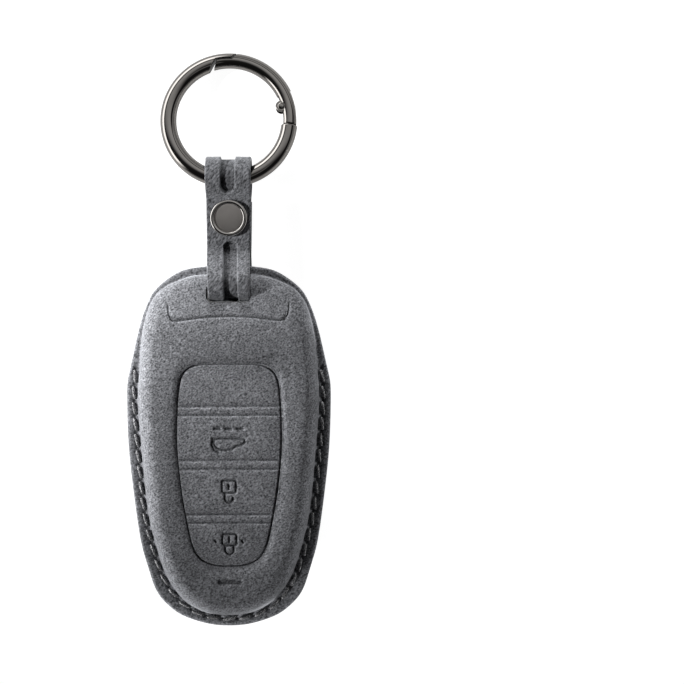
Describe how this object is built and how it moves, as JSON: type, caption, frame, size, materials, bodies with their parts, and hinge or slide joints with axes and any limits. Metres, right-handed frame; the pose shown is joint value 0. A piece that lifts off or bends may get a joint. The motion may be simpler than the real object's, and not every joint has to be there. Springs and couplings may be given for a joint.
{
  "type": "key fob cover",
  "caption": "Moulded suede cover for a car key fob, stitched round its closed end, with an embossed button panel and a snap strap that carries a spring-gate key ring.",
  "frame": {"origin": "on the flat back face, where it lies on the table, at the middle of the cover's width and length", "axes": "+Y along the cover towards the strap and the ring, +Z out of the front face, +X to the right seen from the front"},
  "size_m": [0.055, 0.1554, 0.017],
  "materials": {
    "suede": "napped microfibre suede, grey",
    "lining": "flat black lining",
    "strap_back": "dark grey, matte",
    "snap_metal": "gunmetal plating",
    "ring_metal": "polished gunmetal plating",
    "spring_wire": "drawn wire"
  },
  "bodies": {
    "cover": {"front_cover": "suede", "front_lining": "lining", "back_cover": "suede", "back_lining": "lining"},
    "strap": {"strap": "suede", "strap_lining": "strap_back", "snap_cap": "snap_metal", "snap_socket": "snap_metal", "snap_spring": "spring_wire"},
    "tail": {"strap_tail": "suede", "tail_lining": "strap_back", "snap_stud": "snap_metal", "snap_post": "snap_metal"},
    "ring": {"ring_body": "ring_metal", "gate_pin": "ring_metal", "gate_spring": "spring_wire"},
    "gate": {"ring_gate": "ring_metal"}
  },
  "joints": [
    {"name": "strap_swing", "type": "hinge", "parent": "cover", "child": "strap", "pos_m": [0, 0.0407, 0.0134], "axis": [1, 0, 0], "range_deg": [-3, 5]},
    {"name": "snap_open", "type": "hinge", "parent": "strap", "child": "tail", "pos_m": [0, 0.0431, 0.00105], "axis": [-1, 0, 0], "range_deg": [0, 85]},
    {"name": "ring_swing", "type": "hinge", "parent": "strap", "child": "ring", "pos_m": [0, 0.0723, 0.0066], "axis": [1, 0, 0], "range_deg": [-120, 150]},
    {"name": "gate_open", "type": "hinge", "parent": "ring", "child": "gate", "pos_m": [0.01426, 0.09217, 0.00386], "axis": [0, 0.1364, 0.9907], "range_deg": [0, 32], "stiffness_Nm_per_rad": 0.01, "springref_deg": -11.46, "deforming": ["gate_spring"]}
  ]
}
